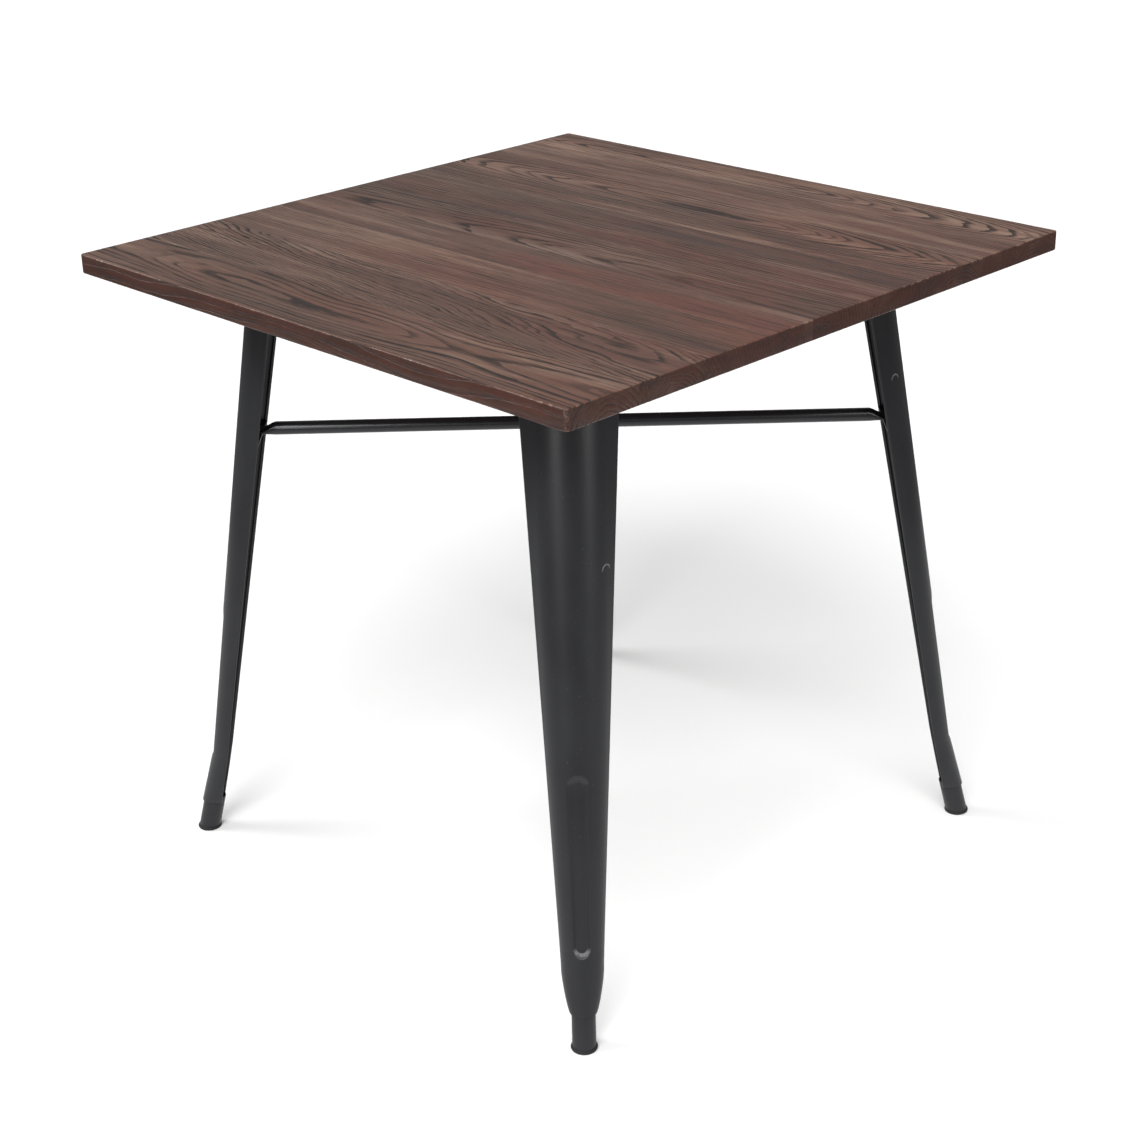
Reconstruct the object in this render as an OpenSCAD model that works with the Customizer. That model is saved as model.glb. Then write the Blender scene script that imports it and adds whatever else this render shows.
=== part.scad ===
// Square bistro table: an edge-glued wooden top screwed to a welded steel
// frame, on four splayed legs pressed from sheet steel, tied by a crossed
// brace.  Millimetres, +Z up, origin on the floor under the middle of the top.
// The boards run along X.

/* [Top] */
// Length of each side of the square top
top_side = 800; // [780:10:900]
// Thickness of the boards
top_t = 23; // [20:1:30]
// Height of the top surface above the floor
table_h = 770; // [760:5:780]
// Radius of the top's four upright corners
corner_r = 5; // [2:1:10]

/* [Legs] */
// Distance from the table's axis to a leg's outer corner, at the leg's top
leg_top_r = 376; // [372:1:380]
// The same distance where the leg begins to kick out
leg_knee_r = 473; // [470:1:477]
// The same distance at the leg's lower end
leg_end_r = 492; // [490:1:494]
// Width across a leg's two rims at its top
leg_top_w = 107; // [104:1:110]
// Depth from a leg's outer corner to its rims at its top
leg_top_d = 34; // [32:1:36]
// Thickness of the pressed sheet
sheet_t = 1.6; // [1.2:0.1:1.8]
// Depth of the pressed flute at its middle
flute_depth = 5.5; // [3:0.5:6]

/* [Feet] */
// Radius of the round ferrule at each foot
ferrule_r = 13.3; // [12.5:0.1:13.4]
// Radius of the rubber pad
pad_r = 15; // [14.5:0.5:17]
// Height of the rubber pad below the ferrule
pad_h = 4; // [3:1:6]

/* [Frame and brace] */
// Height of the frame rails under the top
rail_h = 30; // [28:1:34]
// Thickness of the rail metal
rail_t = 2.5; // [2:0.5:3]
// Height of the shelf in each leg that a brace end lies on
shelf_z = 545; // [530:1:560]
// Outer radius of the brace tube
brace_r = 8.1; // [7.5:0.1:8.5]

/* [Hidden] */
$fn = 48;
wood = "#5c473d";
coat = "#2c2c2e";
rubber = "#181818";
zinc = "#a3a5a6";

CORNERS = ["front_right", "back_right", "back_left", "front_left"];
SIDES = ["right", "back", "left", "front"];
BOARD_SHARES = [97, 100, 91, 67, 80, 102, 108, 66, 89];
BOARDS = len(BOARD_SHARES);

function named(stem, names) = [for (n = names) str(stem, "_", n)];

eps = 0.01;
slack = 0.3;
top_under = table_h - top_t;

// ---- the top ----------------------------------------------------------
function total(v, n) = n == 0 ? 0 : v[n - 1] + total(v, n - 1);
share_sum = total(BOARD_SHARES, BOARDS);
function board_edge(i) = top_side * (total(BOARD_SHARES, i) / share_sum - 0.5);
function board_mid(i) = (board_edge(i) + board_edge(i + 1)) / 2;

// ---- the wood screws, through the rail flanges -------------------------
screw_r = 2;
screw_hole_r = 2.5;
screw_head_r = 4.2;
screw_head_h = 2.6;
screw_bite = 15;
flange_w = 30;
screw_inset = 18;
screw_pitch = 150;
SCREWED_BOARDS = [2, 4, 6];

// ---- the leg's section at a height ---------------------------------------
// Two straight flanks join tangentially to a round outer corner.  The flanks
// stand square to each other at the top and are parallel at the ferrule.
leg_top_z = top_under - rail_h;
leg_end_z = 42;
knee_z = 110;
shoulder_z = 90;
taper = 0.094;
leg_end_w = 31.2;
leg_knee_d = 22;
leg_end_d = 27;
flank_top = 45;
flank_knee = 75;
flank_end = 90;
function mix(a, b, t) = a + (b - a) * t;
function above_knee(z) = (z - knee_z) / (leg_top_z - knee_z);
function below_knee(z) = (z - leg_end_z) / (knee_z - leg_end_z);
function by_height(z, end, knee, top) = z > knee_z
    ? mix(knee, top, above_knee(z))
    : mix(end, knee, below_knee(z));
function outer_r(z) = by_height(z, leg_end_r, leg_knee_r, leg_top_r);
function depth(z) = by_height(z, leg_end_d, leg_knee_d, leg_top_d);
function flank(z) = by_height(z, flank_end, flank_knee, flank_top);
function straight_w(z) = leg_top_w - taper * (leg_top_z - z);
function shoulder(z) = sin(90 * (z - leg_end_z) / (shoulder_z - leg_end_z));
function half_w(z) = 0.5 * (z > shoulder_z
    ? straight_w(z)
    : mix(leg_end_w, straight_w(shoulder_z), shoulder(z)));
function bend_r(z) = (half_w(z) * sin(flank(z)) - depth(z) * cos(flank(z)))
    / (1 - cos(flank(z)));
function flank_l(z) = (depth(z) * sin(flank(z)) - half_w(z) * (1 - cos(flank(z))))
    / (1 - cos(flank(z)));

// The flute is pressed into the outer corner of the lower leg.
flute_half_w = 14;
flute_foot = 112;
flute_lip = 10;
flute_head = 300;
flute_fade = 26;
function clamp01(t) = min(1, max(0, t));
function flute_along(z) = clamp01((z - flute_foot) / flute_lip)
    * clamp01((flute_head + flute_fade - z) / flute_fade);
function flute_across(v) = abs(v) < flute_half_w ? pow(cos(90 * v / flute_half_w), 2) : 0;
function flute(z, v) = flute_depth * flute_along(z) * flute_across(v);

// One point of the section: t runs from -1 to 1 round the bend, and past
// those along the flanks to the rims at -2 and 2.  In is the inward offset.
BEND_STEPS = [-2, -1, -0.8, -0.6, -0.44, -0.3, -0.15, 0, 0.15, 0.3, 0.44, 0.6, 0.8, 1, 2];
function bend_angle(z, t) = flank(z) * min(1, max(-1, t));
function past_bend(z, t) = flank_l(z) * max(0, abs(t) - 1);
function section_pt(z, t, in) =
    let (a = bend_angle(z, t))
    let (r = bend_r(z) - in)
    let (l = past_bend(z, t))
    let (side = sign(t))
    let (v = r * sin(a) + side * l * cos(flank(z)))
    [outer_r(z) - bend_r(z) + r * cos(a) - l * sin(flank(z)) - flute(z, v), v];
function outline(z, in) = [for (t = BEND_STEPS) section_pt(z, t, in)];
function reversed(v) = [for (i = [len(v) - 1:-1:0]) v[i]];
function wall_ring(z) = concat(outline(z, 0), reversed(outline(z, sheet_t)));
function lifted(ring, z) = [for (p = ring) [p[0], p[1], z]];

// ---- the frame: rails between pressed corners ---------------------------
corner_bend = bend_r(leg_top_z);
frame_half = (leg_top_r + (sqrt(2) - 1) * corner_bend) / sqrt(2);
corner_leg_l = 20;
corner_arm = corner_bend + corner_leg_l;
rail_half_l = frame_half - corner_arm;
plate_t = 4;
plate_tongue = 75;
plate_mouth_half_w = 45;
plate_tip_half_w = 16;
plate_lap = 3;
function side_screws(s) = s % 2 == 0
    ? [for (i = SCREWED_BOARDS) (s == 0 ? 1 : -1) * board_mid(i)]
    : [-screw_pitch, 0, screw_pitch];

// ---- the leg bolts: three to a leg --------------------------------------
m8_r = 4;
m8_hole_r = 4.5;
m8_head_r = 7.5;
m8_head_h = 5.3;
m8_nut_h = 6.5;
washer_r = 8;
washer_t = 1.6;
bolt_end = 3;
washer_slack = 0.2;
outer_bolt_inset = 24;
outer_bolt_v = 20;
inner_bolt_inset = 58;
BOLT_SPOTS = [[leg_top_r - outer_bolt_inset, outer_bolt_v],
    [leg_top_r - outer_bolt_inset, -outer_bolt_v], [leg_top_r - inner_bolt_inset, 0]];

// ---- the crossed brace -----------------------------------------------------
brace_wall = 1.4;
flat_t = 5;
flat_w = 22;
flat_mid_half_l = 16;
crush_l = 18;
brace_end_r = 392;
brace_bolt_r = 380;
crush_start_r = 354;
crush_lap = 1;
crush_step = 0.3;
shelf_t = 3;
m6_r = 3;
m6_hole_r = 3.3;
m6_head_r = 5.8;
m6_head_h = 4;
m6_nut_h = 5;
vent_r = 2;
vent_inset = 40;
// The upper bar's middle flat lies on the lower bar's.
cross_z = shelf_z + flat_t / 2;

// ---- the feet -------------------------------------------------------------
foot_r = 487;
foot_slope = 0.25;
foot_tilt = atan(foot_slope);
ferrule_wall = 1.5;
ferrule_l = 50;
pad_stem_l = 20;

// ---- placing -----------------------------------------------------------------
module at_corner(i) {
    rotate([0, 0, 90 * i - 45]) children();
}

module at_side(i) {
    rotate([0, 0, 90 * i]) children();
}

module along_axis(from) {
    translate([foot_r, 0, 0]) rotate([0, -foot_tilt, 0]) translate([0, 0, from]) children();
}

module above(z) {
    translate([-top_side, -top_side, z]) cube([2 * top_side, 2 * top_side, table_h]);
}

// ---- the boards ---------------------------------------------------------------
module top_outline() {
    for (x = [-1, 1], y = [-1, 1])
        translate([x * (top_side / 2 - corner_r), y * (top_side / 2 - corner_r)])
            circle(r = corner_r);
    square([top_side - 2 * corner_r, top_side], center = true);
    square([top_side, top_side - 2 * corner_r], center = true);
}

module screw_axes() {
    for (s = [0:3]) at_side(s)
        for (y = side_screws(s))
            translate([frame_half - screw_inset, y, 0]) children();
}

module board(i) {
    color(wood)
    difference() {
        translate([0, 0, top_under])
            linear_extrude(top_t)
                intersection() {
                    top_outline();
                    translate([-top_side / 2, board_edge(i)])
                        square([top_side, board_edge(i + 1) - board_edge(i)]);
                }
        screw_axes()
            translate([0, 0, top_under - eps]) cylinder(r = screw_r, h = screw_bite + 1);
    }
}

// ---- the frame --------------------------------------------------------------
module frame_rail(i) {
    color(coat)
    at_side(i)
    difference() {
        union() {
            translate([frame_half - rail_t, -rail_half_l, leg_top_z])
                cube([rail_t, 2 * rail_half_l, rail_h]);
            translate([frame_half - flange_w, -rail_half_l, top_under - rail_t])
                cube([flange_w, 2 * rail_half_l, rail_t]);
        }
        for (y = side_screws(i))
            translate([frame_half - screw_inset, y, top_under - rail_t - 1])
                cylinder(r = screw_hole_r, h = rail_t + 2);
    }
}

module round_corner(half, r) {
    intersection() {
        union() {
            square([half - r, half]);
            square([half, half - r]);
            translate([half - r, half - r]) circle(r = r);
        }
        square(half);
    }
}

module frame_corner(i) {
    inner_half = frame_half - rail_t;
    inner_bend = corner_bend - rail_t;
    cut = (leg_top_r - plate_tongue) * sqrt(2);
    color(coat)
    at_corner(i)
    rotate([0, 0, -45])
    difference() {
        union() {
            translate([0, 0, leg_top_z])
                linear_extrude(rail_h)
                    difference() {
                        round_corner(frame_half, corner_bend);
                        round_corner(inner_half, inner_bend);
                        square([rail_half_l, top_side]);
                        square([top_side, rail_half_l]);
                    }
            translate([0, 0, leg_top_z])
                linear_extrude(plate_t)
                    difference() {
                        round_corner(inner_half, inner_bend);
                        polygon([[0, 0], [cut, 0], [0, cut]]);
                    }
        }
        rotate([0, 0, 45]) bolt_holes(leg_top_z);
    }
}

module bolt_holes(z) {
    for (p = BOLT_SPOTS)
        translate([p[0], p[1], z - 1]) cylinder(r = m8_hole_r, h = plate_t + 2);
}

// ---- the legs -----------------------------------------------------------------
// The heights of a leg's cross-sections, closest where its shape changes most.
LEG_HEIGHTS = [leg_end_z, 46, 51, 58, 68, 78, shoulder_z, 102, flute_foot,
    flute_foot + flute_lip, 160, 220, flute_head, flute_head + flute_fade / 2,
    flute_head + flute_fade, 430, 542, 630, leg_top_z];

module leg(i) {
    rings = [for (z = LEG_HEIGHTS) lifted(wall_ring(z), z)];
    n = len(rings[0]);
    last = (len(rings) - 1) * n;
    walls = [for (k = [0:n:last - n], j = [0:n - 1])
        let (a = k + j)
        let (b = k + (j + 1) % n)
        each [[a, a + n, b + n], [a, b + n, b]]];
    // Each end of the sheet is a strip between its outer and inner outlines.
    ends = [for (j = [0:n / 2 - 2])
        let (across = n - 1 - j)
        each [[j, j + 1, across - 1], [j, across - 1, across],
              [last + j, last + across - 1, last + j + 1],
              [last + j, last + across, last + across - 1]]];
    color(coat)
    at_corner(i)
    polyhedron([for (r = rings) each r], concat(walls, ends));
}

// A plate welded inside a leg, under the leg's own inner outline at z.
module inner_plate(z, t) {
    translate([0, 0, z - t])
        linear_extrude(t) polygon(outline(z, sheet_t + slack));
}

module leg_plate(i) {
    mouth = leg_top_r - leg_top_d;
    tip = leg_top_r - plate_tongue;
    color(coat)
    at_corner(i)
    difference() {
        union() {
            inner_plate(leg_top_z, plate_t);
            translate([0, 0, leg_top_z - plate_t])
                linear_extrude(plate_t)
                    polygon([[mouth, -plate_mouth_half_w], [tip, -plate_tip_half_w],
                             [tip, plate_tip_half_w], [mouth, plate_mouth_half_w],
                             [mouth + plate_lap, 0]]);
        }
        bolt_holes(leg_top_z - plate_t);
    }
}

module brace_shelf(i) {
    color(coat)
    at_corner(i)
    difference() {
        inner_plate(shelf_z, shelf_t);
        translate([brace_bolt_r, 0, shelf_z - shelf_t - 1])
            cylinder(r = m6_hole_r, h = shelf_t + 2);
    }
}

// ---- the feet ------------------------------------------------------------------
module ferrule(i) {
    color(coat)
    at_corner(i)
    intersection() {
        difference() {
            along_axis(-10) cylinder(r = ferrule_r, h = ferrule_l + 10);
            along_axis(-20) cylinder(r = ferrule_r - ferrule_wall, h = ferrule_l + 40);
        }
        above(pad_h);
    }
}

module foot_pad(i) {
    color(rubber)
    at_corner(i)
    union() {
        translate([foot_r - foot_slope * pad_h / 2, 0, 0]) cylinder(r = pad_r, h = pad_h);
        intersection() {
            along_axis(-10) cylinder(r = ferrule_r - ferrule_wall, h = pad_stem_l + 10);
            above(pad_h - eps);
        }
    }
}

// ---- the brace --------------------------------------------------------------------
module crush(from, to, z, flat_z) {
    side = sign(to - from);
    hull() {
        translate([from - (side > 0 ? crush_lap : 0), 0, z])
            rotate([0, 90, 0])
                cylinder(r = brace_r - crush_step, h = crush_lap, $fn = 24);
        translate([to - (side > 0 ? 0 : crush_lap), -flat_w / 2, flat_z])
            cube([crush_lap, flat_w, flat_t]);
    }
}

module brace_half(z, mid_z) {
    start = flat_mid_half_l + crush_l;
    tip = brace_end_r - flat_w / 2;
    difference() {
        union() {
            translate([start, 0, z]) rotate([0, 90, 0])
                cylinder(r = brace_r, h = crush_start_r - start);
            crush(crush_start_r, crush_start_r + crush_l, z, shelf_z);
            crush(start, flat_mid_half_l, z, mid_z);
            translate([crush_start_r + crush_l, -flat_w / 2, shelf_z])
                cube([tip - crush_start_r - crush_l, flat_w, flat_t]);
            translate([tip, 0, shelf_z]) cylinder(r = flat_w / 2, h = flat_t);
        }
        translate([start + crush_lap, 0, z]) rotate([0, 90, 0])
            cylinder(r = brace_r - brace_wall, h = crush_start_r - start - 2 * crush_lap);
        translate([crush_start_r - vent_inset, 0, z - brace_r - 1])
            cylinder(r = vent_r, h = brace_r);
        translate([brace_bolt_r, 0, shelf_z - 1]) cylinder(r = m6_hole_r, h = flat_t + 2);
    }
}

module brace_bar(corner, z, mid_z) {
    color(coat)
    at_corner(corner)
    difference() {
        union() {
            brace_half(z, mid_z);
            rotate([0, 0, 180]) brace_half(z, mid_z);
            translate([-flat_mid_half_l, -flat_w / 2, mid_z])
                cube([2 * flat_mid_half_l, flat_w, flat_t]);
        }
        translate([0, 0, mid_z - 1]) cylinder(r = m6_hole_r, h = flat_t + 2);
    }
}

module brace_upper() {
    brace_bar(1, cross_z + flat_t / 2, cross_z);
}

module brace_lower() {
    brace_bar(0, cross_z - flat_t / 2, cross_z - flat_t);
}

// ---- the fasteners -------------------------------------------------------------------
module hex_bolt(r, l, head_r, head_h) {
    translate([0, 0, -head_h]) cylinder(r = head_r, h = head_h, $fn = 6);
    translate([0, 0, -eps]) cylinder(r = r, h = l + eps);
}

module hex_nut(r, nut_r, h) {
    difference() {
        cylinder(r = nut_r, h = h, $fn = 6);
        translate([0, 0, -1]) cylinder(r = r, h = h + 2);
    }
}

module brace_centre_bolt() {
    color(zinc)
    translate([0, 0, cross_z + flat_t]) mirror([0, 0, 1])
        hex_bolt(m6_r, 2 * flat_t + m6_nut_h + bolt_end, m6_head_r, m6_head_h);
}

module brace_centre_nut() {
    color(zinc)
    translate([0, 0, cross_z - flat_t - m6_nut_h]) hex_nut(m6_r, m6_head_r, m6_nut_h);
}

module brace_end_bolts() {
    color(zinc)
    for (i = [0:3]) at_corner(i)
        translate([brace_bolt_r, 0, shelf_z + flat_t]) mirror([0, 0, 1])
            hex_bolt(m6_r, flat_t + shelf_t + m6_nut_h + bolt_end, m6_head_r, m6_head_h);
}

module brace_end_nuts() {
    color(zinc)
    for (i = [0:3]) at_corner(i)
        translate([brace_bolt_r, 0, shelf_z - shelf_t - m6_nut_h])
            hex_nut(m6_r, m6_head_r, m6_nut_h);
}

module at_leg_bolts(z) {
    for (i = [0:3]) at_corner(i)
        for (p = BOLT_SPOTS)
            translate([p[0], p[1], z]) children();
}

module leg_bolts() {
    color(zinc)
    at_leg_bolts(leg_top_z - plate_t - washer_t)
        hex_bolt(m8_r, washer_t + 2 * plate_t + m8_nut_h + bolt_end, m8_head_r, m8_head_h);
}

module leg_bolt_washers() {
    color(zinc)
    at_leg_bolts(leg_top_z - plate_t - washer_t)
    difference() {
        cylinder(r = washer_r, h = washer_t);
        translate([0, 0, -1]) cylinder(r = m8_r + washer_slack, h = washer_t + 2);
    }
}

module leg_bolt_nuts() {
    color(zinc)
    at_leg_bolts(leg_top_z + plate_t) hex_nut(m8_r, m8_head_r, m8_nut_h);
}

module top_screws() {
    color(zinc)
    screw_axes() {
        translate([0, 0, top_under - rail_t - screw_head_h])
            cylinder(r = screw_head_r, h = screw_head_h);
        translate([0, 0, top_under - rail_t - eps])
            cylinder(r = screw_r, h = rail_t + screw_bite + eps);
    }
}

for (i = [0:BOARDS - 1])
    board(i);
for (i = [0:3]) {
    frame_rail(i);
    frame_corner(i);
    leg(i);
    leg_plate(i);
    brace_shelf(i);
    ferrule(i);
    foot_pad(i);
}
brace_upper();
brace_lower();
brace_centre_bolt();
brace_centre_nut();
brace_end_bolts();
brace_end_nuts();
leg_bolts();
leg_bolt_washers();
leg_bolt_nuts();
top_screws();
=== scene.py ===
"""Square bistro table: a stained board top on four legs of pressed sheet steel.

Every length is in metres and every piece is made in the frame's own place, with
+Z up, the boards along X and the origin on the floor under the middle of the top.
"""

import math
from typing import NamedTuple

import bmesh
import bpy
from bpy.props import FloatProperty, FloatVectorProperty, PointerProperty
from mathutils import Matrix, Vector, noise


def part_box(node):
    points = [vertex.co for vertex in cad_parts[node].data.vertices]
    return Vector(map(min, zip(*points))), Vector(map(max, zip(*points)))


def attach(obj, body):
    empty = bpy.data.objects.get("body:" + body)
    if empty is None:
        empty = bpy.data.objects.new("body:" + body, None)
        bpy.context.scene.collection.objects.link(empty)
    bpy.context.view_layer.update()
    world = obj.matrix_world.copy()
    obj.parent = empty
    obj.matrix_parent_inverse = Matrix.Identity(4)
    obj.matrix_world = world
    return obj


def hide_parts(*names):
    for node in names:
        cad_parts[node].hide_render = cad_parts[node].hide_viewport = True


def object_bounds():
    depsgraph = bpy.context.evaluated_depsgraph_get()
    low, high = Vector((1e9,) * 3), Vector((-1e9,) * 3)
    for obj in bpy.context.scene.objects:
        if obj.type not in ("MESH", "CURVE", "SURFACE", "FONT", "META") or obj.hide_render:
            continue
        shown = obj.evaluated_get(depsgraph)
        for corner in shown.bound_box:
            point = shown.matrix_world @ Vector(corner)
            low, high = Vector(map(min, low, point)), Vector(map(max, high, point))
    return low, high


bl_info = {
    "name": "Bistro table",
    "version": (1, 0, 0),
    "blender": (4, 5, 0),
    "location": "3D View > Sidebar > Bistro table",
    "description": "Makes a square bistro table, one operator for each group of like pieces",
    "category": "Add Mesh",
}

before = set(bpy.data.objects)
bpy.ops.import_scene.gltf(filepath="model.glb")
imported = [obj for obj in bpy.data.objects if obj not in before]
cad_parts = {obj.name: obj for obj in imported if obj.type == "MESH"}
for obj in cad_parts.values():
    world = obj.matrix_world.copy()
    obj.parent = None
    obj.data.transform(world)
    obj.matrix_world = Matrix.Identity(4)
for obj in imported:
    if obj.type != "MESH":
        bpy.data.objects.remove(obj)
cad_low, cad_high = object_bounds()

MM = 0.001
CORNERS = ("front_right", "back_right", "back_left", "front_left")
SIDES = ("right", "back", "left", "front")
TOP_HALF = cad_high.x
TOP_Z = cad_high.z
TOP_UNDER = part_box("board_1")[0].z
FRAME_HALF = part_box("frame_rail_right")[1].x
RAIL_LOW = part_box("frame_rail_right")[0].z
PAD_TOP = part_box("foot_pad_front_right")[0].z + 4 * MM


# ---- settings ----


def length(label, text, default, low=0.0, high=2.0):
    """A size that a user may change, in metres."""
    return FloatProperty(
        name=label, description=text, default=default, min=low, max=high,
        unit="LENGTH", subtype="DISTANCE", precision=4,
    )


def angle(label, text, degrees):
    """An angle that a user may change."""
    return FloatProperty(
        name=label, description=text, default=math.radians(degrees), unit="ROTATION",
        subtype="ANGLE",
    )


def share(label, text, default):
    """A number from 0 to 1 that a user may change."""
    return FloatProperty(
        name=label, description=text, default=default, min=0.0, max=1.0, subtype="FACTOR"
    )


def colour(label, text, red, green, blue):
    """A colour that a user may change, given as it shows on a screen, 0 to 255."""
    return FloatVectorProperty(
        name=label, description=text, default=linear(red, green, blue), size=3,
        min=0.0, max=1.0, subtype="COLOR",
    )


def linear(red, green, blue):
    """A screen colour, 0 to 255, as the linear colour that a shader takes."""
    return tuple(
        c / 3294.6 if c <= 10.3 else ((c / 255 + 0.055) / 1.055) ** 2.4
        for c in (red, green, blue)
    )


class TopSettings(bpy.types.PropertyGroup):
    """The boards and their stain."""

    corner_r: length("Corner radius", "Radius of the top's four upright corners", 5 * MM)
    arris: length("Arris", "Rounding of the top's outer edges", 1.5 * MM)
    seam: length("Seam", "Chamfer along each joint between boards", 0.35 * MM)
    crest: colour("Crest", "Stain on the hard, smooth part of the grain", 88, 61, 48)
    furrow: colour("Furrow", "Stain in the brushed-out, open grain", 38, 26, 21)
    pale: colour("Pale", "Streaks where the stain took thinly", 132, 104, 88)
    red: colour("Red", "Stain where the wood is reddest", 100, 55, 40)
    edge_red: colour("Edge", "Stain on the top's upright sides", 60, 31, 24)
    relief: share("Relief", "Depth of the brushed grain", 0.8)


class LegSettings(bpy.types.PropertyGroup):
    """The pressed sheet legs."""

    top_r: length("Top distance", "Axis to outer corner at the leg's top", 376 * MM)
    knee_r: length("Knee distance", "Axis to outer corner at the knee", 473 * MM)
    end_r: length("End distance", "Axis to outer corner at the leg's end", 492 * MM)
    top_w: length("Top width", "Width across the rims at the top", 107 * MM)
    end_w: length("End width", "Width at the lower end", 31.2 * MM)
    top_d: length("Top depth", "Outer corner to rims at the top", 34 * MM)
    knee_d: length("Knee depth", "Outer corner to rims at the knee", 22 * MM)
    end_d: length("End depth", "Outer corner to rims at the lower end", 27 * MM)
    knee_z: length("Knee height", "Where the leg begins to kick out", 110 * MM)
    shoulder_z: length("Shoulder height", "Where the leg begins to close in", 90 * MM)
    end_z: length("End height", "Where the sheet ends above the floor", 42 * MM)
    sheet_t: length("Sheet", "Thickness of the pressed sheet", 1.6 * MM)
    hem_r: length("Hem", "Outer radius of the folded rims", 1.75 * MM)
    flute_depth: length("Flute depth", "Depth of the pressed flute", 4.6 * MM)
    flute_half_w: length("Flute half width", "Half the flute's width", 12.5 * MM)
    flute_foot_z: length("Flute foot", "Lower end of the flute", 106 * MM)
    flute_head_z: length("Flute head", "Upper end of the flute", 315 * MM)


class MetalSettings(bpy.types.PropertyGroup):
    """The coat, the zinc and the rubber."""

    coat: colour("Coat", "Satin powder coat", 28, 28, 31)
    coat_rough: share("Coat roughness", "How dull the coat is", 0.40)
    zinc: colour("Zinc", "Plating on bolts, nuts and screws", 186, 188, 190)
    rubber: colour("Rubber", "Foot pads", 26, 26, 26)


class StageSettings(bpy.types.PropertyGroup):
    """The camera, lights and floor."""

    azimuth: angle("Azimuth", "Camera's turn round the table", 45.703)
    elevation: angle("Elevation", "Camera's height above the horizon", 24.294)
    roll: angle("Roll", "Camera's turn about its line of sight", -1.568)
    distance: length("Distance", "Camera to the table's axis", 2.7631, 0.5, 10)
    aim_right: length("Aim right", "Sideways place of the view's middle", -16.27 * MM, -1, 1)
    aim_up: length("Aim up", "Height of the view's middle", 322.72 * MM, -1, 1)
    lens: FloatProperty(
        name="Lens", description="Focal length on a 36 mm sensor, in millimetres",
        default=66.87, min=10,
    )
    floor: colour("Floor", "Plain pale floor", 243, 243, 243)
    sky: share("Surround", "Brightness of the pale surround overhead", 0.55)
    glow: share("Floor glow", "Light that the floor gives off, to keep it pale", 0.02)


# ---- materials ----


def arithmetic(operation, swapped=False):
    """A method of Wire that adds a Math node."""

    def method(self, *others):
        values = (*others, self) if swapped else (self, *others)
        return self.finish.add("Math", {"operation": operation}, dict(enumerate(values)))

    return method


class Wire:
    """A socket's output, on which arithmetic adds Math nodes."""

    def __init__(self, finish, socket):
        self.finish = finish
        self.socket = socket

    __add__ = __radd__ = arithmetic("ADD")
    __sub__ = arithmetic("SUBTRACT")
    __rsub__ = arithmetic("SUBTRACT", swapped=True)
    __mul__ = __rmul__ = arithmetic("MULTIPLY")
    __truediv__ = arithmetic("DIVIDE")
    __pow__ = arithmetic("POWER")
    __abs__ = arithmetic("ABSOLUTE")
    floor = arithmetic("FLOOR")
    least = arithmetic("MINIMUM")
    most = arithmetic("MAXIMUM")


class Finish:
    """A material, or the surround, in the making."""

    def __init__(self, name, kind="materials", space="Object"):
        self.owner = getattr(bpy.data, kind).new(name)
        self.owner.use_nodes = True
        self.tree = self.owner.node_tree
        self.tree.nodes.clear()
        self.place = self.add("TexCoord", output=space)
        self.x, self.y, self.z = self.split(self.place)

    def add(self, kind, settings=None, sockets=None, output=0):
        """Adds a node, sets it, then fills its sockets with values or wires."""
        made = self.tree.nodes.new("ShaderNode" + kind)
        for key, value in (settings or {}).items():
            setattr(made, key, value)
        for key, value in (sockets or {}).items():
            if isinstance(value, Wire):
                self.tree.links.new(value.socket, made.inputs[key])
            else:
                made.inputs[key].default_value = value
        return None if output is None else Wire(self, made.outputs[output])

    def split(self, vector):
        """The three parts of a vector or colour."""
        made = self.tree.nodes.new("ShaderNodeSeparateXYZ")
        self.tree.links.new(vector.socket, made.inputs[0])
        return tuple(Wire(self, o) for o in made.outputs)

    def cloud(self, scale, shift, detail, rough, output=0, place=None):
        """Noise with that many lumps to the metre along each axis."""
        sockets = {0: place or self.place, 1: scale, 2: shift}
        at = self.add("VectorMath", {"operation": "MULTIPLY_ADD"}, sockets)
        sockets = {"Vector": at, "Scale": 1.0, "Detail": detail, "Roughness": rough}
        return self.add("TexNoise", None, sockets, output)

    def step(self, value, low, high):
        """A smooth step from 0 at low to 1 at high."""
        sockets = {0: value, 1: low, 2: high}
        return self.add("MapRange", {"interpolation_type": "SMOOTHSTEP"}, sockets)

    def mix(self, mask, first, second):
        """One colour over another by a mask."""
        sockets = {0: mask, 6: as_colour(first), 7: as_colour(second)}
        return self.add("Mix", {"data_type": "RGBA"}, sockets, 2)

    def bump(self, height, strength, distance):
        """A normal from a height in the range 0 to 1, which is that distance deep."""
        sockets = {"Height": height, "Strength": strength, "Distance": distance}
        return self.add("Bump", None, sockets)

    def surface(self, **sockets):
        """Ends a material with a Principled shader, whose sockets are named with underscores."""
        named = {k.replace("_", " "): as_colour(v) for k, v in sockets.items()}
        return self.ended("BsdfPrincipled", "OutputMaterial", named)

    def ended(self, shader, end, sockets):
        """Joins a shader to the end node and returns what was made."""
        self.add(end, None, {"Surface": self.add(shader, None, sockets)}, output=None)
        return self.owner


def as_colour(value):
    """Three numbers as a colour with full alpha; anything else as it is."""
    if isinstance(value, (Wire, int, float)) or len(value) != 3:
        return value
    return (*value, 1.0)


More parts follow.
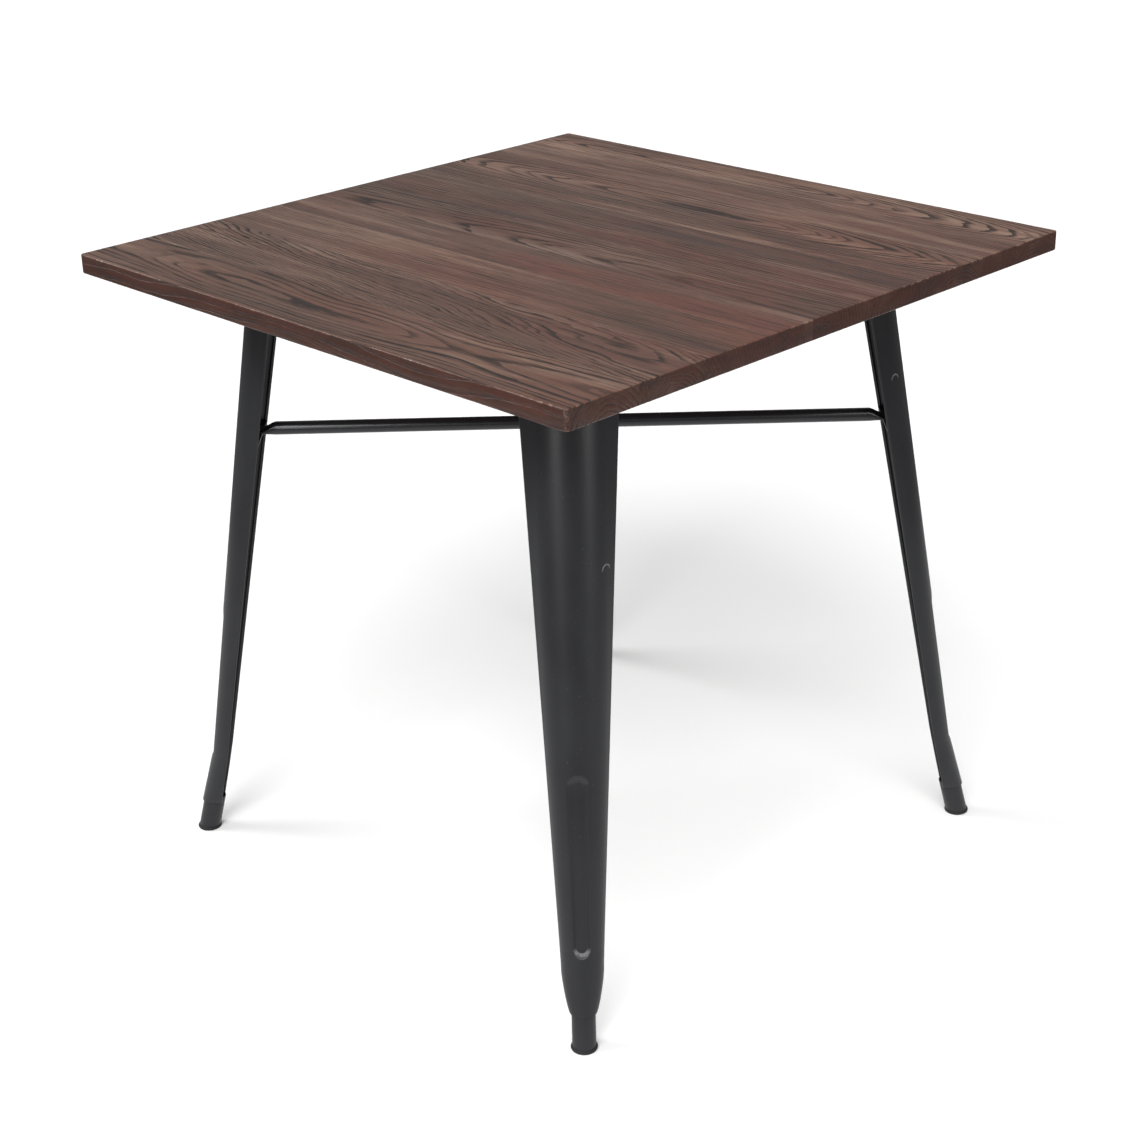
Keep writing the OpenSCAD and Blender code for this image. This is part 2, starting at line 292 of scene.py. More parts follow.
class Board(NamedTuple):
    """How one board was sawn from its log, and how it took the stain."""

    pith: float  # how far to +Y of the board's middle the log's heart runs
    depth: float  # how far below the top the heart lies, at X = 0
    slope: float  # how much deeper it lies for each metre along X
    bow: float  # and for each metre squared
    ring: float  # width of a year's growth
    sway: float  # how far the grain strays in broad bends
    wave: float  # how far it strays in small ones
    light: float  # how light the stain is
    red: float  # how red the stain is
    bold: float  # how dark the grain's lines are
    swing: float = 0.0  # how far to +Y the heart moves for each metre along X


BOARDS = (
    Board(0.008, 0.046, 0, 0, 0.0062, 0.070, 0.0045, 1.02, 0.35, 1.30),
    Board(0.055, 0.030, -0.030, 0.06, 0.0044, 0.060, 0.0080, 0.92, 0.45, 1.20, -0.12),
    Board(-0.110, 0.040, 0.020, 0, 0.0040, 0.030, 0.0045, 1.02, 0.50, 0.75),
    Board(0.130, 0.060, 0.020, 0, 0.0036, 0.024, 0.0035, 0.92, 0.95, 0.65),
    Board(-0.022, 0.034, -0.042, 0, 0.0046, 0.030, 0.0045, 0.77, 0.80, 1.15),
    Board(0.200, 0.050, 0.010, 0, 0.0050, 0.022, 0.0035, 0.81, 0.85, 1.05),
    Board(0.016, 0.016, 0.012, 0.16, 0.0036, 0.028, 0.0045, 1.22, 0.30, 1.65),
    Board(0.150, 0.080, 0, 0, 0.0038, 0.022, 0.0035, 1.01, 0.35, 0.85),
    Board(0.004, 0.018, 0.030, 0.10, 0.0040, 0.034, 0.0050, 1.24, 0.15, 1.35),
)


PORE = linear(22, 16, 15)
BLOTCH = linear(30, 21, 19)
BARE_WOOD = linear(152, 126, 112)
GRAIN_DEPTH = 1.1 * MM


def stained_wood(number, low, high, settings):
    """Dark-stained, brushed wood, ringed in the solid round its own log's heart."""
    board = BOARDS[number]
    f = Finish(f"stained_wood_{number + 1}")
    seed = (number * 3.7 + 1.3, number * 5.1 + 0.7, number * 2.9 + 4.1)
    _, sway_y, sway_z = f.split(f.cloud((2.4, 9, 9), seed, 1.5, 0.5, 1))
    _, wave_y, wave_z = f.split(f.cloud((13, 75, 75), seed, 2.5, 0.55, 1))
    bend = {1: (wave_y - 0.5) * board.wave * 1.6, 2: (wave_z - 0.5) * board.wave * 1.6}
    bend = f.add("CombineXYZ", None, bend)
    grain = f.add("VectorMath", {"operation": "ADD"}, {0: f.place, 1: bend})
    middle = (low.y + high.y) / 2 + board.pith
    across = f.y - f.x * board.swing - middle
    across = across + (sway_y - 0.5) * board.sway * 0.6 + (wave_y - 0.5) * board.wave
    down = f.z - TOP_Z + board.depth + f.x * (f.x * board.bow + board.slope)
    down = down + (sway_z - 0.5) * board.sway + (wave_z - 0.5) * board.wave
    radius = (across * across + down * down) ** 0.5

    years = radius / board.ring
    sockets = {"W": years / 4.0 + seed[0], "Scale": 1.0}
    years = years + f.add("TexNoise", {"noise_dimensions": "1D"}, sockets) * 1.8
    year = years.floor()
    season = years - year
    vigour = f.add("TexWhiteNoise", {"noise_dimensions": "1D"}, {"W": year + seed[1]})
    spring = (1 - f.step(season, 0.12, 0.58)) * f.step(season, 0.0, 0.06)

    streak = f.cloud((4.2, 80, 80), seed, 5.0, 0.72, place=grain)
    band = f.cloud((1.7, 24, 24), (seed[1], seed[2], seed[0]), 1.5, 0.5)
    fade = f.cloud((9, 48, 48), (seed[2], seed[0], seed[1]), 2.0, 0.55)
    fibre = f.cloud((10, 270, 270), seed, 3.0, 0.72, place=grain)
    vessel = f.cloud((85, 1500, 1500), seed, 1.5, 0.5)
    patch = f.cloud((3.2, 11, 11), seed, 2.0, 0.55)
    pore = f.step(vessel, 0.55, 0.66) * (spring * 0.85 + 0.15)

    line = spring * (vigour * 0.5 + 0.5) * (f.step(fade, 0.28, 0.60) * 0.7 + 0.3)
    open_grain = (line * board.bold * 1.15 + (0.47 - fibre) * 2.3).most(0.0).least(1.0)
    redness = (f.step(patch, 0.30, 0.65) + f.x * 0.9) * board.red
    base = f.mix(redness.most(0.0).least(1.0), settings.crest, settings.red)
    tone = streak * 0.55 + band * 0.45
    base = f.mix(f.step(tone, 0.48, 0.68) * 0.8, base, settings.pale)
    base = f.mix(f.step(tone, 0.50, 0.34) * 0.55, base, settings.furrow)
    wood = f.mix(open_grain, base, settings.furrow)
    wood = f.mix(pore * 0.40, wood, PORE)
    wood = f.add("VectorMath", {"operation": "SCALE"}, {0: wood, "Scale": board.light})

    _, _, facing = f.split(f.add("NewGeometry", output="Normal"))
    upright = 1 - f.step(abs(facing), 0.35, 0.75)
    blotch = f.step(f.cloud((16, 16, 60), seed, 3.0, 0.6), 0.42, 0.62)
    side = f.mix(blotch * 0.55, settings.edge_red, BLOTCH)
    wood = f.mix(upright, wood, f.mix(0.80, wood, side))

    # Handling has rubbed the stain off the outer arrises in small chips.
    from_x = TOP_HALF - abs(f.x)
    from_y = TOP_HALF - abs(f.y)
    from_rim = from_x.least(from_y).most(TOP_Z - f.z)
    chips = f.cloud((150, 150, 150), seed, 3.0, 0.65)
    rubbed = f.cloud((14, 14, 14), seed, 1.0, 0.5)
    worn = 1 - f.step(from_rim, 0.4 * MM, 2.2 * MM)
    worn = worn * f.step(chips + rubbed * 0.6, 0.90, 0.98)
    scratch = f.cloud((260, 260, 420), seed, 4.0, 0.75)
    nick = f.step(scratch, 0.44, 0.66) * (1 - f.step(from_x.most(from_y), 1 * MM, 5 * MM))
    wood = f.mix(worn.most(nick * 0.8) * 0.55, wood, BARE_WOOD)

    relief = 1 - (line * board.bold * 0.65 + pore * 0.25)
    relief = relief + (fibre - 0.5) * 0.35 + (streak - 0.5) * 0.30
    return f.surface(
        Base_Color=wood,
        Roughness=0.38 + open_grain * 0.30 + (patch - 0.5) * 0.16,
        Specular_IOR_Level=0.42,
        Normal=f.bump(relief, settings.relief, GRAIN_DEPTH),
    )


def powder_coat(settings, marks=(), name="satin_coat", sheen=0.0):
    """Satin black powder coat, very slightly orange-peeled, with a few pale crescents painted on
    it: painted highlights and pale marks.

    Each mark has its centre, its radius, 1 or -1 for its upper or lower half, its width
    and its strength.
    """
    f = Finish(name)
    peel = f.cloud((900, 900, 900), (0, 0, 0), 1.0, 0.5)
    haze = f.cloud((9, 9, 5), (3, 1, 7), 3.0, 0.6)
    speck = f.cloud((420, 420, 420), (5, 2, 1), 1.0, 0.5)
    grey = f.mix(f.step(haze, 0.3, 0.7) * 0.35, Vector(settings.coat), linear(46, 47, 50))
    grey = f.mix(f.step(speck, 0.72, 0.78) * 0.25, grey, linear(96, 96, 98))
    rough = settings.coat_rough - sheen + (haze - 0.5) * 0.14 + (peel - 0.5) * 0.06
    # Each mark paints a pale crescent into the coat's colour; at the flutes' lips these are
    # painted highlights.
    for spot, size, way, width, strength in marks:
        away = f.add("VectorMath", {"operation": "DISTANCE"}, {0: f.place, 1: spot}, "Value")
        crescent = 1 - f.step(abs(away - size), width * 0.3, width)
        half = f.step((f.z - spot[2]) * way, -0.2 * size, 0.5 * size)
        broken = f.step(f.cloud((700, 700, 700), (2, 8, 4), 1.0, 0.5), 0.38, 0.55)
        mark = crescent * half * (broken * 0.6 + 0.4)
        grey = f.mix(mark * strength, grey, linear(176, 176, 176))
    return f.surface(
        Base_Color=grey,
        Roughness=rough,
        Specular_IOR_Level=0.40 + sheen,
        Normal=f.bump(peel, 0.10, 0.3 * MM),
    )


def zinc_plate(settings):
    """Bright zinc plating, dulled unevenly."""
    f = Finish("zinc_plate")
    cloudy = f.cloud((180, 180, 180), (1, 1, 1), 3.0, 0.6)
    drawn = f.cloud((900, 900, 220), (4, 1, 3), 2.0, 0.5)
    tone = f.mix(f.step(cloudy, 0.35, 0.7), Vector(settings.zinc), linear(150, 150, 146))
    return f.surface(
        Base_Color=tone,
        Metallic=1.0,
        Roughness=0.28 + cloudy * 0.22,
        Normal=f.bump(drawn, 0.12, 0.2 * MM),
    )


def foot_rubber(settings):
    """Matt black rubber, dusty towards the floor."""
    f = Finish("pad_rubber")
    grit = f.cloud((700, 700, 700), (0, 3, 0), 2.0, 0.6)
    low = 1 - f.step(f.z, 0.0, 4 * MM)
    dust = low * f.step(grit, 0.4, 0.7) * 0.5
    dusty = f.mix(dust, Vector(settings.rubber), linear(84, 82, 80))
    return f.surface(
        Base_Color=dusty,
        Roughness=0.72 + (grit - 0.5) * 0.2,
        Specular_IOR_Level=0.35,
        Normal=f.bump(grit, 0.25, 0.3 * MM),
    )


def pale_floor(settings):
    """Seamless pale paper."""
    f = Finish("pale_floor")
    fleck = f.cloud((240, 240, 240), (0, 0, 0), 2.0, 0.5)
    tone = f.mix(fleck * 0.02, Vector(settings.floor), linear(232, 232, 232))
    return f.surface(
        Base_Color=tone, Roughness=0.92, Specular_IOR_Level=0.1,
        Emission_Color=(1.0, 1.0, 1.0), Emission_Strength=settings.glow,
    )


# ---- making pieces ----


def linked(name, data):
    """A new object in the scene."""
    made = bpy.data.objects.new(name, data)
    bpy.context.scene.collection.objects.link(made)
    return made


def piece(name, bm, finish, nodes, crease=40):
    """Turns a bmesh into a finished piece that stands for those CAD nodes."""
    mesh = bpy.data.meshes.new(name)
    bm.to_mesh(mesh)
    bm.free()
    mesh.polygons.foreach_set("use_smooth", [True] * len(mesh.polygons))
    mesh.set_sharp_from_angle(angle=math.radians(crease))
    mesh.materials.append(finish)
    made = linked(name, mesh)
    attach(made, "root")
    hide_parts(*nodes)


def finish_of(name, maker):
    """The metal of that name, made the first time that it is asked for."""
    return bpy.data.materials.get(name) or maker(bpy.context.scene.bistro_metal)


def coat():
    """The coat on everything but the legs and the brace."""
    return finish_of("satin_coat", powder_coat)


def zinc():
    """The plating on every fastener."""
    return finish_of("zinc_plate", zinc_plate)


def at_corner(index):
    """The turn from over the +X axis to that corner of the table."""
    return Matrix.Rotation(math.radians(90 * index - 45), 4, "Z")


def outwards(bm):
    """Points every face of the closed shells in bm outwards."""
    bmesh.ops.recalc_face_normals(bm, faces=bm.faces[:])


def lathe(outline, steps, closed=False):
    """A shell of (radius, height) points spun about the Z axis."""
    bm = bmesh.new()
    start = [bm.verts.new((r, 0, z)) for r, z in outline]
    pairs = list(zip(start, start[1:]))
    if closed:
        pairs.append((start[-1], start[0]))
    edges = [bm.edges.new(p) for p in pairs]
    bmesh.ops.spin(
        bm, geom=start + edges, cent=(0, 0, 0), axis=(0, 0, 1), dvec=(0, 0, 0),
        angle=math.tau, steps=steps, use_merge=True,
    )
    bmesh.ops.remove_doubles(bm, verts=bm.verts[:], dist=1e-6)
    outwards(bm)
    return bm


def bevel(bm, edges, offset, segments):
    """Rounds edges, or chamfers them where there is one segment."""
    bmesh.ops.bevel(
        bm, geom=edges, offset=offset, offset_type="OFFSET", affect="EDGES",
        segments=segments, profile=0.5, material=-1, clamp_overlap=True,
    )


def cut(bm, spot, normal, **options):
    """Cuts all of a mesh by a plane and returns what bmesh says of it."""
    return bmesh.ops.bisect_plane(
        bm, geom=bm.verts[:] + bm.edges[:] + bm.faces[:], plane_co=spot, plane_no=normal,
        **options,
    )


def eased_copy(node, width):
    """A CAD node's shape with its long, sharp edges rounded."""
    bm = bmesh.new()
    bm.from_mesh(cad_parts[node].data)
    bmesh.ops.remove_doubles(bm, verts=bm.verts[:], dist=0.02 * MM)
    bmesh.ops.dissolve_limit(
        bm, angle_limit=math.radians(2), verts=bm.verts[:], edges=bm.edges[:],
        use_dissolve_boundaries=False,
    )
    sharp = [
        e for e in bm.edges
        if len(e.link_faces) == 2
        and e.calc_length() > 3 * MM
        and e.calc_face_angle(0) > math.radians(40)
    ]
    bevel(bm, sharp, width, 2)
    return bm


def eased_pieces(stem, kind, places, width):
    """Coated parts with the CAD's own shapes, their long, sharp edges rounded."""
    for place in places:
        node = f"{kind}_{place}"
        bm = eased_copy(node, width)
        piece(f"{stem}_{place}", bm, coat(), [node])


# ---- the boards ----


def on(value, plane):
    """Whether a coordinate lies on a plane."""
    return abs(value - plane) < 1e-5


def rim_edges(bm, z, outer):
    """Edges of the face at height z that lie on the table's outer sides, or on its seams."""
    found = []
    for edge in bm.edges:
        if not all(on(v.co.z, z) for v in edge.verts):
            continue
        mid = (edge.verts[0].co + edge.verts[1].co) / 2
        flat = [abs(f.normal.z) for f in edge.link_faces]
        if len(flat) != 2 or min(flat) > 0.5 or max(flat) < 0.5:
            continue
        if (max(abs(mid.x), abs(mid.y)) > TOP_HALF - 6 * MM) == outer:
            found.append(edge)
    return found


def sliced(bm, side, low, high):
    """Cuts a mesh across an axis about every 10 mm, so that it can be worn unevenly."""
    count = max(1, round((high - low) / (10 * MM)))
    for k in range(1, count):
        cut(bm, side * (low + (high - low) * k / count), side)


def worn_rim(bm, amount):
    """Lets the outer arrises wander, as hand-sanded ones do."""
    for v in bm.verts:
        side = max(abs(v.co.x), abs(v.co.y)) - TOP_HALF
        if side < -4 * MM:
            continue
        lump = noise.noise(v.co * 38) * 0.6 + noise.noise(v.co * 110) * 0.4
        if min(TOP_Z - v.co.z, v.co.z - TOP_UNDER) < 2.5 * MM:
            up = -1 if v.co.z > (TOP_Z + TOP_UNDER) / 2 else 1
            v.co.z += up * amount * max(0, lump)
            for axis in (0, 1):
                if abs(v.co[axis]) > TOP_HALF - 2 * MM:
                    v.co[axis] -= math.copysign(amount * max(0, -lump), v.co[axis])


def board_shape(low, high, settings):
    """One board: a plank with eased arrises and, at the table's corners, round ones."""
    bm = bmesh.new()
    place = Matrix.LocRotScale((low + high) / 2, None, high - low)
    bmesh.ops.create_cube(bm, size=1, matrix=place)
    uprights = [
        e for e in bm.edges
        if all(on(abs(v.co.x), TOP_HALF) and on(abs(v.co.y), TOP_HALF) for v in e.verts)
        and not on(e.verts[0].co.z, e.verts[1].co.z)
    ]
    if uprights:
        bevel(bm, uprights, settings.corner_r, 6)
    bevel(bm, rim_edges(bm, high.z, True), settings.arris, 3)
    bevel(bm, rim_edges(bm, low.z, True), settings.arris * 1.3, 3)
    bevel(bm, rim_edges(bm, high.z, False), settings.seam, 1)
    bevel(bm, rim_edges(bm, low.z, False), settings.seam * 2, 1)
    sliced(bm, Vector((1, 0, 0)), low.x, high.x)
    sliced(bm, Vector((0, 1, 0)), low.y, high.y)
    worn_rim(bm, 0.35 * MM)
    return bm


class BISTRO_OT_boards(bpy.types.Operator):
    """Makes the nine boards of the top, each with its own grain"""

    bl_idname = "bistro.boards"
    bl_label = "Boards"

    def execute(self, context):
        settings = context.scene.bistro_top
        for number in range(len(BOARDS)):
            node = f"board_{number + 1}"
            low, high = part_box(node)
            finish = stained_wood(number, low, high, settings)
            bm = board_shape(low, high, settings)
            piece(f"plank_{number + 1}", bm, finish, [node], 30)
        return {"FINISHED"}


# ---- the legs ----


def blend(first, second, share_of_second):
    """A value between two others."""
    return first + (second - first) * share_of_second


def smooth(value, low, high):
    """A smooth step from 0 at low to 1 at high."""
    t = min(1.0, max(0.0, (value - low) / (high - low)))
    return t * t * (3 - 2 * t)


class LegShape:
    """The pressed leg's section at any height: a round outer corner and two flanks."""

    TOP_FLANK = math.radians(45)
    KNEE_FLANK = math.radians(75)
    END_FLANK = math.radians(90)
    TAPER = 0.094  # width lost for each unit of height
    FLUTE_FOOT = 0.82  # the flute's width at its foot, as a share of its width at its head
    HEM_BACK = 2.5 * MM  # how far the hem comes back up inside

    def __init__(self, settings):
        self.s = settings
        self.top_z = RAIL_LOW

    def by_height(self, z, end, knee, top):
        """A value that runs straight from the leg's end to its knee and on to its top."""
        s = self.s
        if z > s.knee_z:
            return blend(knee, top, (z - s.knee_z) / (self.top_z - s.knee_z))
        return blend(end, knee, (z - s.end_z) / (s.knee_z - s.end_z))

    def half_w(self, z):
        """Half the width across the rims."""
        s = self.s
        straight = s.top_w - self.TAPER * (self.top_z - max(z, s.shoulder_z))
        if z >= s.shoulder_z:
            return straight / 2
        turn = math.sin(math.pi / 2 * (z - s.end_z) / (s.shoulder_z - s.end_z)) ** 0.8
        return blend(s.end_w, straight, turn) / 2

    def press(self, z, v):
        """How deep the flute is pressed at a height, that far across from its middle."""
        s = self.s
        up = smooth(z, s.flute_foot_z, s.flute_head_z)
        half = blend(self.FLUTE_FOOT, 1.0, up) * s.flute_half_w
        foot = s.flute_foot_z + half
        head = s.flute_head_z - half
        across = abs(v) / half
        if z < foot:
            out = math.hypot(across, (foot - z) / half)
            return s.flute_depth * (1 - smooth(out, 0.52, 1.0))
        out = math.hypot(across, max(0.0, (z - head) / half))
        return s.flute_depth * (1 - smooth(out, 0.50, 1.0)) * (
            1 - 0.35 * smooth(z, head - half, s.flute_head_z)
        )

    def point(self, along, z):
        """The outer face at a height.  Along runs from -1 to 1 round the bend, to 2 down
        the flank to the fold of the hem, to 3 round the fold and to 4 back up inside."""
        s = self.s
        flank = self.by_height(z, self.END_FLANK, self.KNEE_FLANK, self.TOP_FLANK)
        depth = self.by_height(z, s.end_d, s.knee_d, s.top_d)
        outer = self.by_height(z, s.end_r, s.knee_r, s.top_r)
        half = self.half_w(z)
        bend = (half * math.sin(flank) - depth * math.cos(flank)) / (1 - math.cos(flank))
        run = (depth * math.sin(flank) - half * (1 - math.cos(flank))) / (1 - math.cos(flank))
        run -= s.hem_r
        side = math.copysign(1, along)
        t = abs(along)
        turn = flank * min(1, t)
        r = outer - bend + bend * math.cos(turn)
        v = bend * math.sin(turn)
        down = run * min(1, max(0, t - 1))
        fold = math.pi * min(1, max(0, t - 2))
        down += s.hem_r * math.sin(fold) - self.HEM_BACK * max(0, t - 3)
        inward = s.hem_r * (1 - math.cos(fold))
        r -= down * math.sin(flank) + inward * math.cos(flank)
        v += down * math.cos(flank) - inward * math.sin(flank)
        if t < 1:
            r -= self.press(z, v)
        return Vector((r, side * v, z))


# Heights in mm and places round the leg: from, to, and how many rows or columns between.
LEG_ROWS = (
    (42, 90, 26), (90, 102, 6), (102, 126, 30), (126, 290, 30), (290, 325, 20), (325, 717, 52),
)
LEG_COLUMNS = ((0, 1, 32), (1, 2, 10), (2, 3, 6), (3, 4, 2))
# Two pale crescent marks painted on the coat of two legs.
PALE_CRESCENTS = ((0, 0.529, 0.95), (1, 0.605, -0.9))  # corner, height and place round the leg


def run_of(spans):
    """The values at the ends and divisions of spans (from, to, divisions)."""
    values = [spans[0][0]]
    for start, end, count in spans:
        values += [start + (end - start) * (k + 1) / count for k in range(count)]
    return values


def both_ways(values):
    """Values from 0 up, with their negatives before them."""
    return [-t for t in reversed(values[1:])] + values


def net(columns, rows, point):
    """A grid whose vertices stand where point puts each column and row."""
    bm = bmesh.new()
    bmesh.ops.create_grid(bm, x_segments=len(columns) - 1, y_segments=len(rows) - 1, size=1)
    for v in bm.verts:
        column = columns[round((v.co.x + 1) / 2 * (len(columns) - 1))]
        row = rows[round((v.co.y + 1) / 2 * (len(rows) - 1))]
        v.co = point(column, row)
    return bm


def leg_sheet(settings):
    """The pressed sheet over the +X axis, with its hems folded inwards."""
    rows = [z * MM for z in run_of(LEG_ROWS)]
    bm = net(both_ways(run_of(LEG_COLUMNS)), rows, LegShape(settings).point)
    bm.normal_update()
    bmesh.ops.solidify(bm, geom=bm.faces[:], thickness=settings.sheet_t)
    return bm


class BISTRO_OT_legs(bpy.types.Operator):
    """Makes the four pressed sheet legs"""

    bl_idname = "bistro.legs"
    bl_label = "Legs"

    def execute(self, context):
        settings = context.scene.bistro_leg
        shape = LegShape(settings)
        marks = []
        for index, z, along in PALE_CRESCENTS:
            spot = at_corner(index) @ shape.point(along, z)
            marks.append((spot, 6 * MM, 1, 1.1 * MM, 0.45))
        # Pale crescents painted at each flute's foot and head: painted highlights where the
        # flute's lips catch the light.
        half = settings.flute_half_w
        foot = settings.flute_foot_z + shape.FLUTE_FOOT * half
        head = settings.flute_head_z - half
        for index in range(4):
            for z, way, width, strength in (
                (foot, -1, 2.6 * MM, 0.30), (head, 1, 6 * MM, 0.04)
            ):
                spot = at_corner(index) @ shape.point(0, z)
                marks.append((spot, 0.62 * half, way, width, strength))
        finish = powder_coat(context.scene.bistro_metal, marks, "leg_coat")
        for index, corner in enumerate(CORNERS):
            bm = leg_sheet(settings)
            bm.transform(at_corner(index))
            piece(f"pressed_leg_{corner}", bm, finish, [f"leg_{corner}"], 50)
        return {"FINISHED"}


# ---- the feet ----

FOOT_R = 487 * MM
FOOT_SLOPE = 0.25
FERRULE_R = 13.3 * MM
FERRULE_WALL = 1.5 * MM
FERRULE_L = 50 * MM
PAD_R = 15 * MM


class BISTRO_OT_ferrules(bpy.types.Operator):
    """Makes the round ferrule at the foot of each leg"""

    bl_idname = "bistro.ferrules"
    bl_label = "Ferrules"

    def execute(self, context):
        tilt = Matrix.Rotation(-math.atan(FOOT_SLOPE), 4, "Y")
        axis = Matrix.Translation((FOOT_R, 0, 0)) @ tilt
        inner = FERRULE_R - FERRULE_WALL
        lip = 0.5 * MM
        outline = (
            (inner, -10 * MM), (inner, FERRULE_L - lip),
            (inner + lip * 0.3, FERRULE_L - lip * 0.3), (inner + lip, FERRULE_L),
            (FERRULE_R - lip, FERRULE_L), (FERRULE_R - lip * 0.3, FERRULE_L - lip * 0.3),
            (FERRULE_R, FERRULE_L - lip), (FERRULE_R, 30 * MM), (FERRULE_R, -10 * MM),
        )
        for index, corner in enumerate(CORNERS):
            bm = lathe(outline, 48, closed=True)
            bm.transform(axis)
            made = cut(bm, (0, 0, PAD_TOP), (0, 0, 1), clear_inner=True)
            rim = [e for e in made["geom_cut"] if isinstance(e, bmesh.types.BMEdge)]
            bmesh.ops.bridge_loops(bm, edges=rim)
            outwards(bm)
            bm.transform(at_corner(index))
            piece(f"foot_ferrule_{corner}", bm, coat(), [f"ferrule_{corner}"], 50)
        return {"FINISHED"}


class BISTRO_OT_foot_pads(bpy.types.Operator):
    """Makes the rubber pad under each ferrule"""

    bl_idname = "bistro.foot_pads"
    bl_label = "Foot pads"

    def execute(self, context):
        finish = foot_rubber(context.scene.bistro_metal)
        outline = (
            (0, 0.6 * MM), (PAD_R * 0.70, 0.6 * MM), (PAD_R * 0.74, 0), (PAD_R * 0.90, 0),
            (PAD_R * 0.965, 0.5 * MM), (PAD_R * 0.995, 1.4 * MM), (PAD_R, 2.4 * MM),
            (PAD_R * 0.985, 3.4 * MM), (PAD_R * 0.94, PAD_TOP),
            (PAD_R * 0.80, PAD_TOP + 0.3 * MM), (PAD_R * 0.60, PAD_TOP + 0.3 * MM),
            (PAD_R * 0.60, 12 * MM), (0, 12 * MM),
        )
        centre = FOOT_R - FOOT_SLOPE * PAD_TOP / 2
        for index, corner in enumerate(CORNERS):
            bm = lathe(outline, 48)
            bm.transform(at_corner(index) @ Matrix.Translation((centre, 0, 0)))
            piece(f"rubber_pad_{corner}", bm, finish, [f"foot_pad_{corner}"], 60)
        return {"FINISHED"}


# ---- the frame ----


class BISTRO_OT_frame(bpy.types.Operator):
    """Makes the four angle rails and the pressed corners between them"""

    bl_idname = "bistro.frame"
    bl_label = "Frame"

    def execute(self, context):
        eased_pieces("angle_rail", "frame_rail", SIDES, 0.6 * MM)
        eased_pieces("corner", "frame_corner", CORNERS, 0.6 * MM)
        return {"FINISHED"}


class BISTRO_OT_plates(bpy.types.Operator):
    """Makes the bolting plate and the brace shelf welded in each leg"""

    bl_idname = "bistro.plates"
    bl_label = "Leg plates and shelves"

    def execute(self, context):
        for corner in CORNERS:
            eased_pieces("bolting_plate", "leg_plate", [corner], 0.4 * MM)
            eased_pieces("shelf", "brace_shelf", [corner], 0.4 * MM)
        return {"FINISHED"}


# ---- the brace ----

BRACE_R = 8.1 * MM
BRACE_HALF_L = 392 * MM
FLAT_HALF_W = 11 * MM
FLAT_HALF_T = 2.5 * MM
CRUSH_FROM = 354 * MM
CRUSH_L = 18 * MM
MID_FLAT = 16 * MM
# Distances from the middle in mm: from, to, and how many rows between.
BRACE_ROWS = (
    (0, 16, 3), (16, 34, 12), (34, 354, 24), (354, 372, 14), (372, 381, 6), (381, 388, 6),
    (388, 392, 8),
)
BRACE_COLUMNS = 40


def brace_section(r, flat_end_z, flat_mid_z, tube_z):
    """A bar's half width, half thickness, centre height and flatness, that far from its
    middle."""
    end = smooth(abs(r), CRUSH_FROM, CRUSH_FROM + CRUSH_L)
    middle = 1 - smooth(abs(r), MID_FLAT, MID_FLAT + CRUSH_L)
    flat = max(end, middle)
    half_w = blend(BRACE_R, FLAT_HALF_W, flat)
    half_t = blend(BRACE_R, FLAT_HALF_T, flat)
    past = abs(r) - (BRACE_HALF_L - FLAT_HALF_W)
    if past > 0:
        half_w = max(0.4 * MM, math.sqrt(max(0.0, FLAT_HALF_W**2 - past**2)))
    z = tube_z + (flat_end_z - tube_z) * end + (flat_mid_z - tube_z) * middle
    return half_w, half_t, z, flat


def brace_shape(flat_end_z, flat_mid_z, tube_z):
    """A bar of tube along X, crushed flat at its ends and its middle."""

    def point(turn, r):
        half_w, half_t, z, flat = brace_section(r, flat_end_z, flat_mid_z, tube_z)
        square = blend(1.0, 0.55, flat)
        c, s = math.cos(turn), math.sin(turn)
        y = half_w * math.copysign(abs(c) ** square, c)
        return Vector((r, y, z + half_t * math.copysign(abs(s) ** square, s)))

    turns = [math.tau * k / BRACE_COLUMNS for k in range(BRACE_COLUMNS + 1)]
    bm = net(turns, [r * MM for r in both_ways(run_of(BRACE_ROWS))], point)
    bmesh.ops.remove_doubles(bm, verts=bm.verts[:], dist=1e-6)
    bmesh.ops.holes_fill(bm, edges=[e for e in bm.edges if e.is_boundary], sides=0)
    outwards(bm)
    return bm


class BISTRO_OT_brace(bpy.types.Operator):
    """Makes the two crossed brace bars"""

    bl_idname = "bistro.brace"
    bl_label = "Crossed brace"

    def execute(self, context):
        finish = powder_coat(context.scene.bistro_metal, (), "bar_coat", 0.15)
        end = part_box("brace_shelf_front_right")[1].z + FLAT_HALF_T
        for kind, corner, mid, tube in (
            ("upper", 1, end + FLAT_HALF_T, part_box("brace_upper")[1].z - BRACE_R),
            ("lower", 0, end - FLAT_HALF_T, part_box("brace_lower")[0].z + BRACE_R),
        ):
            bm = brace_shape(end, mid, tube)
            bm.transform(at_corner(corner))
            piece(f"brace_bar_{kind}", bm, finish, [f"brace_{kind}"], 60)
        return {"FINISHED"}


# ---- the fasteners ----


def merged(bm, extra, matrix):
    """Adds a copy of one bmesh's shape to another, moved by a matrix."""
    holder = bpy.data.meshes.new("part")
    extra.to_mesh(holder)
    holder.transform(matrix)
    bm.from_mesh(holder)
    bpy.data.meshes.remove(holder)


def hexagon(radius, height, bore=0.0):
    """A hexagonal head or nut standing on Z = 0, its upper corners chamfered."""
    chamfer = 0.13 * radius
    flat = radius * math.cos(math.radians(30))
    rings = [
        (bore, 0.0), (flat * 0.97, 0.0), (radius, chamfer * 0.5),
        (radius, height - chamfer), (flat * 0.96, height), (bore, height),
    ]
    bm = lathe(rings, 48, closed=bore > 0)
    for v in bm.verts:
        r = math.hypot(v.co.x, v.co.y)
        if r < flat * 0.99:
            continue
        turn = math.atan2(v.co.y, v.co.x)
        sixth = (turn + math.pi / 6) % (math.pi / 3) - math.pi / 6
        wall = flat / math.cos(sixth + (math.pi / 6 if sixth < 0 else -math.pi / 6))
        v.co.xy *= min(wall, r) / r
    return bm


